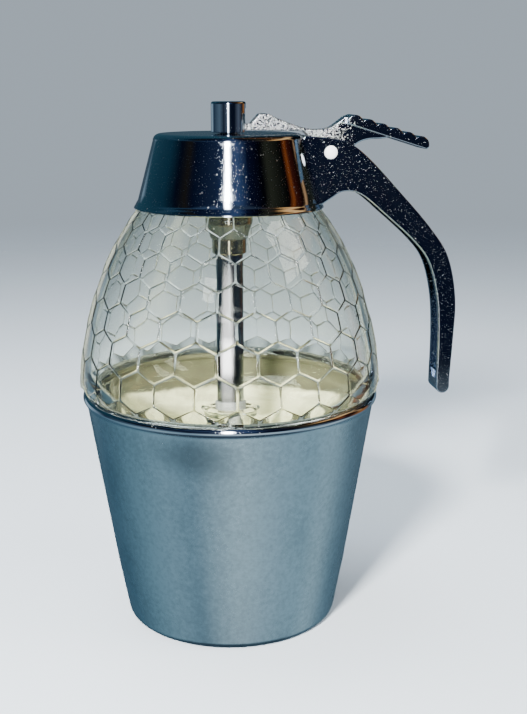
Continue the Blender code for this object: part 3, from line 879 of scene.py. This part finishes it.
class DISPENSER_OT_lid(AddPiece, bpy.types.Operator):
    """Cast chrome lid and channel handle in one piece"""

    bl_idname = "dispenser.lid"
    bl_label = "Add Lid and Handle"

    def build(self, sizes, finish):
        lid = self.cap()
        handle = self.handle(sizes)
        hole = cross_pin("rivet_hole", PIN_HOLE_RADIUS, 3 * sizes.handle_width)
        combine(handle, hole, "DIFFERENCE")
        combine(lid, handle, "UNION")
        metal = chrome("lid_chrome", finish.chrome, 0.9, 0.02, (27.0 * MM, 33.0 * MM), 0.010)
        finish_piece(lid, metal, "lid")

    def cap(self):
        """Cone with a rounded top corner, a small lip at its foot and a hole for the rod."""
        top = LID_HIGH[2]
        round_corner = (LID_SHOULDER_RADIUS - LID_CORNER_RADIUS, top - LID_CORNER_RADIUS)
        profile = [(ROD_HOLE_RADIUS, top), (12.0 * MM, top)]
        profile += arc(round_corner, LID_CORNER_RADIUS, 90, 16, 10)
        profile += [(self.cone_radius(height), height)
                    for height in even_lengths(163.2, 144.0, 8)]
        profile += metres(smooth_line([(30.35, 143.4), (30.75, 142.6), (31.15, 142.0)], 3))
        profile += [(31.25 * MM, LID_BOTTOM + 0.2 * MM), (31.05 * MM, LID_BOTTOM),
                    (30.3 * MM, LID_BOTTOM), (29.4 * MM, LID_BOTTOM + 2.0 * MM),
                    (LID_SHOULDER_RADIUS - LID_WALL, round_corner[1]),
                    (round_corner[0], top - LID_WALL), (ROD_HOLE_RADIUS, top - LID_WALL)]
        return turned("cast_lid", profile, segments=160, loop=True)

    def cone_radius(self, height):
        """Outer radius of the lid's cone."""
        share = (height - LID_BOTTOM) / (LID_HIGH[2] - LID_CORNER_RADIUS - LID_BOTTOM)
        return LID_FOOT_RADIUS + (LID_SHOULDER_RADIUS - LID_FOOT_RADIUS) * share

    def handle(self, sizes):
        """Curved channel of two cheeks and a spine, open above where the lever lies."""
        outer = smooth_line(OUTER_EDGE, 6)
        inner = smooth_line(INNER_EDGE, 6)
        tip = arc(TIP_CENTRE, TIP_RADIUS, 10, -190, 14)
        outline = metres(outer + tip + inner[::-1])
        for height in (144.2 * MM, 154.0 * MM, 162.4 * MM):
            outline.append((self.cone_radius(height) - ROOT_DEPTH, height))
        handle = cut_plate("handle", outline, sizes.handle_width)
        round_edges(handle, 1.0 * MM, segments=4)
        spine = [point for point in outer if point[0] > SPINE_START]
        groove = offset_line(spine, sizes.cheek_thickness / MM)
        groove += offset_line(inner[6:], GROOVE_REACH)[::-1]
        groove += [(20.0, 136.0), (20.0, 172.0), (SPINE_START + 3.0, 172.0)]
        gap = sizes.handle_width - 2 * sizes.cheek_thickness
        channel = cut_plate("channel", metres(groove), gap)
        combine(handle, channel, "DIFFERENCE")
        return handle


class DISPENSER_OT_rivet(AddPiece, bpy.types.Operator):
    """Domed rivet across the cheeks and the lever, near white as a painted highlight"""

    bl_idname = "dispenser.rivet"
    bl_label = "Add Rivet"

    def build(self, sizes, finish):
        head = RIVET_HIGH[1]
        face = sizes.handle_width / 2 + 0.3 * MM
        radius = RIVET_HIGH[0] - PIVOT.x
        half = [(0.3 * MM, head), (0.55 * radius, head - 0.08 * MM),
                (0.85 * radius, head - 0.26 * MM), (radius, face + 0.12 * MM),
                (radius - 0.1 * MM, face), (1.5 * MM, face)]
        profile = half + [(far, -height) for far, height in reversed(half)]
        rivet = turned("domed_rivet", profile, segments=48)
        rivet.rotation_euler = (math.radians(90), 0, 0)
        rivet.location = PIVOT
        bpy.ops.object.transform_apply(location=True, rotation=True, scale=True)
        # Near-white, mostly matte metal on the rivet: painted highlight standing in for the flash
        # on its dome
        bright = chrome("rivet_painted_highlight", (0.98, 0.98, 0.96), 0.5, 0.35, metallic=0.15)
        finish_piece(rivet, bright, "rivet")


class DISPENSER_OT_lever(AddPiece, bpy.types.Operator):
    """Thumb lever with a tongue, a boss on the rivet and a scalloped pad"""

    bl_idname = "dispenser.lever"
    bl_label = "Add Lever"

    def build(self, sizes, finish):
        arm = smooth_line(LEVER_TOP) + [LEVER_PAD_END] + smooth_line(LEVER_UNDERSIDE)
        arm.append(LEVER_TONGUE_FOOT)
        lever = cut_plate("thumb_lever", metres(arm), sizes.lever_width)
        round_edges(lever, 0.7 * MM)
        boss = cross_pin("boss", BOSS_RADIUS, sizes.lever_width + MM)
        round_edges(boss, 0.3 * MM, segments=2)
        combine(lever, boss, "UNION")
        combine(lever, self.tongue(), "UNION")
        combine(lever, self.pad(sizes), "UNION")
        hole = cross_pin("lever_hole", PIN_HOLE_RADIUS, 3 * sizes.lever_width)
        combine(lever, hole, "DIFFERENCE")
        metal = chrome("lever_chrome", finish.chrome, 1.0, 0.06, (42.0 * MM, 33.0 * MM), 0.19,
                       grain_scale=1600.0)
        finish_piece(lever, metal, "lever", body="lever")

    def tongue(self):
        """Flat tongue that reaches into the housing under the rod's head."""
        low, high = 166.42 * MM, 168.4 * MM
        start, end = LEVER_LOW[0], 12.0 * MM
        tongue = block("tongue", (start, -1.7 * MM, low), (end, 1.7 * MM, high))
        round_edges(tongue, 0.4 * MM)
        return tongue

    def pad(self, sizes):
        """Pad with a flat underside and a row of scallops across its top."""
        along = Vector((math.cos(PAD_SLOPE), math.sin(PAD_SLOPE)))
        upward = Vector((-along.y, along.x))
        start = Vector(PAD_START)
        half_angle = math.degrees(math.asin(SCALLOP_PITCH / 2 / SCALLOP_RADIUS))
        outline = [start]
        for index in range(sizes.scallops):
            centre = start + along * SCALLOP_PITCH * (index + 0.5) + upward * SCALLOP_CENTRE
            first = 160 if index == 0 else 90 + half_angle
            last = 0 if index == sizes.scallops - 1 else 90 - half_angle
            for x, z in arc((0.0, 0.0), SCALLOP_RADIUS, first, last, 12):
                outline.append(centre + along * x + upward * z)
        outline.append(start + along * (SCALLOP_PITCH * sizes.scallops))
        pad = cut_plate("pad", metres(outline), sizes.pad_width)
        round_edges(pad, 0.45 * MM)
        return pad


class DISPENSER_OT_rod(AddPiece, bpy.types.Operator):
    """Lifting rod, its stopper, the guide under the lid and the housing on top"""

    bl_idname = "dispenser.rod"
    bl_label = "Add Rod and Housing"

    def build(self, sizes, finish):
        metal = chrome("rod_chrome", finish.chrome, 0.4, 0.03)
        finish_piece(self.housing(), metal, "spring_housing")
        # Darker warm copy of the chrome for the guide under the lid: its darkness is painted
        # shade, its warm tone is given as its own
        warm = chrome("guide_shaded_chrome", (0.42, 0.38, 0.29), 0.5, 0.04)
        finish_piece(self.collar(), warm, "guide_collar")
        # The lifting rod's chrome is a darker copy of the chrome, as painted shade
        painted_shade = chrome("lifting_rod_shaded_chrome", toned(finish.chrome, 0.36), 0.6, 0.05)
        finish_piece(self.rod(), painted_shade, "plunger", body="plunger")
        grey = rubber("grey_rubber", finish.stopper)
        finish_piece(self.stopper(), grey, "stopper", "plunger")

    def housing(self):
        """Capped tube, slotted on the handle's side for the tongue."""
        radius = HOUSING_HIGH[0]
        low, top = HOUSING_LOW[2], HOUSING_HIGH[2]
        bore = radius - MM
        ceiling = top - 0.8 * MM
        corner = 0.8 * MM
        profile = [(2.0 * MM, top), (radius - 1.6 * MM, top - 0.05 * MM)]
        profile += arc((radius - corner, top - corner), corner, 80, 0, 8)
        profile += [(radius, low + 1.2 * MM), (radius, low + 0.2 * MM), (radius - 0.2 * MM, low),
                    (bore, low), (bore, ceiling - 0.6 * MM), (bore - 0.6 * MM, ceiling),
                    (MM, ceiling)]
        housing = turned("housing_tube", profile, segments=96)
        slot = block("slot", (2.5 * MM, -2.3 * MM, low - MM), (9.0 * MM, 2.3 * MM, 173.3 * MM))
        combine(housing, slot, "DIFFERENCE")
        return housing

    def collar(self):
        """Guide with a cone above a thin sleeve."""
        low, top = COLLAR_LOW[2], COLLAR_HIGH[2]
        radius = COLLAR_HIGH[0]
        bore = 4.9 * MM
        profile = [(bore, top), (radius, top), (radius, 150.0 * MM), (radius, 136.0 * MM)]
        cone = [(7.75, 135.4), (7.5, 134.9), (6.3, 130.9), (6.1, 130.4)]
        profile += metres(smooth_line(cone, 3))
        profile += [(5.7 * MM, 130.2 * MM), (5.7 * MM, low + 0.3 * MM), (5.4 * MM, low),
                    (bore, low), (bore, 150.0 * MM)]
        return turned("rod_guide", profile, segments=96, loop=True)

    def rod(self):
        """Rod with a thin neck and a head that the tongue lifts."""
        low, top = PLUNGER_LOW[2], PLUNGER_HIGH[2]
        profile = [(3.6 * MM, top), (4.2 * MM, top - 0.1 * MM)]
        profile += metres([(4.4, 169.7), (4.4, 169.0), (4.2, 168.8), (1.6, 168.8), (1.6, 165.8),
                           (2.7, 165.8), (3.0, 165.5), (3.0, 149.8), (4.3, 148.3), (4.6, 147.8),
                           (4.6, 120.0), (4.6, 90.0)])
        profile += [(4.6 * MM, low + 0.3 * MM), (4.3 * MM, low)]
        return turned("lifting_rod", profile, segments=96)

    def stopper(self):
        """Plug that closes the outlet."""
        low, top = STOPPER_LOW[2], STOPPER_HIGH[2]
        profile = [(4.6 * MM, top)]
        profile += arc((4.8 * MM, top - 0.6 * MM), 0.6 * MM, 90, 0, 5)
        profile += metres([(5.4, 69.0), (5.4, 66.1), (5.3, 65.85), (3.9, 64.5)])
        profile += [(3.6 * MM, low)]
        return turned("outlet_plug", profile, segments=96)


class DISPENSER_OT_studio(AddPiece, bpy.types.Operator):
    """Pale floor, soft lights and the photograph's camera"""

    bl_idname = "dispenser.studio"
    bl_label = "Add Studio"

    def build(self, sizes, finish):
        self.floor(finish.floor)
        for light in LIGHTS:
            self.light(*light)
        self.surroundings(bpy.context.scene)
        self.camera(bpy.context.scene)

    def floor(self, colour):
        """Wide matte floor that fades out far away, left out of what the metal reflects."""
        deselect()
        bpy.ops.mesh.primitive_plane_add(size=FLOOR_WIDTH, location=(0, 0, 0))
        floor = named("studio_floor")
        matte = Shader("studio_floor")
        matte.set(Base_Color=(*colour, 1.0), Roughness=0.9)
        clear = matte.node("BsdfTransparent")
        far = matte.node("VectorMath", operation="LENGTH")
        matte.link(matte.place, far.inputs[0])
        start, end = FLOOR_FADE
        gone = matte.ramp(matte.math("MULTIPLY", far.outputs["Value"], 1 / FLOOR_REACH),
                          [(start / FLOOR_REACH, 0.0), (end / FLOOR_REACH, 1.0)])
        share = matte.math("MAXIMUM", after_metal(matte), gone)
        matte.mix_shaders(share, matte.principled, clear, "Material Output")
        floor.data.materials.append(matte.material)

    def light(self, name, place, size, power, colour):
        """Square soft light that faces the dispenser's middle."""
        deselect()
        bpy.ops.object.light_add(type="AREA", location=place)
        light = bpy.context.active_object
        light.name = name
        light.data.size = size
        light.data.energy = power
        light.data.color = colour
        light.visible_glossy = False
        aim = LIGHT_AIM - Vector(place)
        light.rotation_euler = aim.to_track_quat("-Z", "Y").to_euler()

    def surroundings(self, scene):
        """Pale room for what is seen and lit, and a dark blue room for what the metal reflects."""
        world = bpy.data.worlds.new("studio")
        scene.world = world
        world.use_nodes = True
        nodes = Nodes(world.node_tree)
        room = nodes.background(ROOM_COLOUR, ROOM_STRENGTH)
        reflected = nodes.background(self.reflected_room(nodes), 1.0)
        strip = nodes.background(self.reflected_strip(nodes), STRIP_STRENGTH)
        both = nodes.node("AddShader")
        nodes.link(reflected.outputs["Background"], both.inputs[0])
        nodes.link(strip.outputs["Background"], both.inputs[1])
        nodes.mix_shaders(after_metal(nodes), room, both, "World Output")

    def directions(self, nodes):
        """Height from 0 below to 1 above, and bearing from 0 to 1, 0.5 on the camera's side."""
        place = nodes.node("TexCoord").outputs["Generated"]
        axes = nodes.axes(nodes.mapping(place, turn=CAMERA_BEARING))
        height = nodes.math("MULTIPLY_ADD", axes["Z"], 0.5, 0.5)
        front = nodes.math("MULTIPLY", axes["Y"], -1.0)
        angle = nodes.math("ARCTAN2", axes["X"], front)
        return height, nodes.math("MULTIPLY_ADD", angle, 1.0 / math.tau, 0.5)

    def reflected_room(self, nodes):
        """Bands of colour round the room, one above the other."""
        height, bearing = self.directions(nodes)
        low, level, high, top = (nodes.ramp(bearing, bearing_stops(band))
                                 for band in (LOW_BAND, LEVEL_BAND, HIGH_BAND, TOP_BAND))
        above_ground = nodes.ramp(height, [(0.05, 0.0), (0.13, 1.0)])
        above_low = nodes.ramp(height, [(0.30, 0.0), (0.38, 1.0)])
        above_level = nodes.ramp(height, [(0.505, 0.0), (0.55, 1.0)])
        above_high = nodes.ramp(height, [(0.745, 0.0), (0.765, 1.0), (0.800, 1.0), (0.840, 0.0)])
        ground = nodes.mix(above_ground, (0.05, 0.08, 0.11), low)
        upper = nodes.mix(above_high, high, top)
        return nodes.mix(above_level, nodes.mix(above_low, ground, level), upper)

    def reflected_strip(self, nodes):
        """Bright strip beside the camera, wider low down, with a soft glow round it."""
        height, bearing = self.directions(nodes)
        taper = nodes.ramp(height, [(0.702, 0.25), (0.712, 0.325), (0.726, 1.0)])
        aside = nodes.math("MULTIPLY_ADD", bearing, STRIP_STRETCH, -STRIP_STRETCH * STRIP_MIDDLE)
        wide = nodes.ramp(nodes.math("MULTIPLY_ADD", aside, taper, 0.5),
                          [(0.42, 0.0), (0.462, 0.10), (0.488, 1.0), (0.512, 1.0), (0.538, 0.10),
                           (0.58, 0.0)])
        narrow = nodes.ramp(bearing, bearing_stops(NARROW_STRIP))
        share = nodes.ramp(height, [(0.695, 0.0), (0.703, 0.30), (0.722, 0.30), (0.735, 0.0)])
        upright = nodes.ramp(height, [(0.34, 0.0), (0.45, 0.12), (0.555, 0.12), (0.58, 1.0),
                                      (0.640, 1.0), (0.660, 0.25), (0.76, 0.25), (0.86, 0.0)])
        return nodes.mix(share, nodes.mix(upright, (0.0, 0.0, 0.0), narrow), wide)

    def camera(self, scene):
        """Camera at the photograph's place, angle and lens."""
        deselect()
        bpy.ops.object.camera_add(location=CAMERA_PLACE)
        camera = bpy.context.active_object
        camera.rotation_euler = (math.radians(90) + CAMERA_PITCH, 0.0, -CAMERA_HEADING)
        camera.data.lens = CAMERA_LENS
        camera.data.sensor_width = 36.0
        scene.camera = camera


PIECES = (DISPENSER_OT_cup, DISPENSER_OT_jar, DISPENSER_OT_lid, DISPENSER_OT_rivet,
          DISPENSER_OT_lever, DISPENSER_OT_rod, DISPENSER_OT_studio)


class DISPENSER_PT_pieces(bpy.types.Panel):
    """Sidebar panel with the dispenser's sizes, colours and pieces"""

    bl_label = "Syrup Dispenser"
    bl_idname = "DISPENSER_PT_pieces"
    bl_space_type = "VIEW_3D"
    bl_region_type = "UI"
    bl_category = "Dispenser"

    def draw(self, context):
        scene = context.scene
        for group in (scene.dispenser_sizes, scene.dispenser_finish):
            column = self.layout.column()
            for key in group.__annotations__:
                column.prop(group, key)
        for piece in PIECES:
            self.layout.operator(piece.bl_idname)


CLASSES = (DispenserSizes, DispenserFinish) + PIECES + (DISPENSER_PT_pieces,)


def register():
    """Register the classes and put the sizes and colours on the scene."""
    for item in CLASSES:
        bpy.utils.register_class(item)
    bpy.types.Scene.dispenser_sizes = bpy.props.PointerProperty(type=DispenserSizes)
    bpy.types.Scene.dispenser_finish = bpy.props.PointerProperty(type=DispenserFinish)


def unregister():
    """Undo what register did."""
    del bpy.types.Scene.dispenser_finish
    del bpy.types.Scene.dispenser_sizes
    for item in reversed(CLASSES):
        bpy.utils.unregister_class(item)


def main():
    """Build the dispenser and its studio."""
    register()
    bpy.ops.dispenser.cup()
    bpy.ops.dispenser.jar()
    bpy.ops.dispenser.lid()
    bpy.ops.dispenser.rivet()
    bpy.ops.dispenser.lever()
    bpy.ops.dispenser.rod()
    bpy.ops.dispenser.studio()


if __name__ == "__main__":
    main()
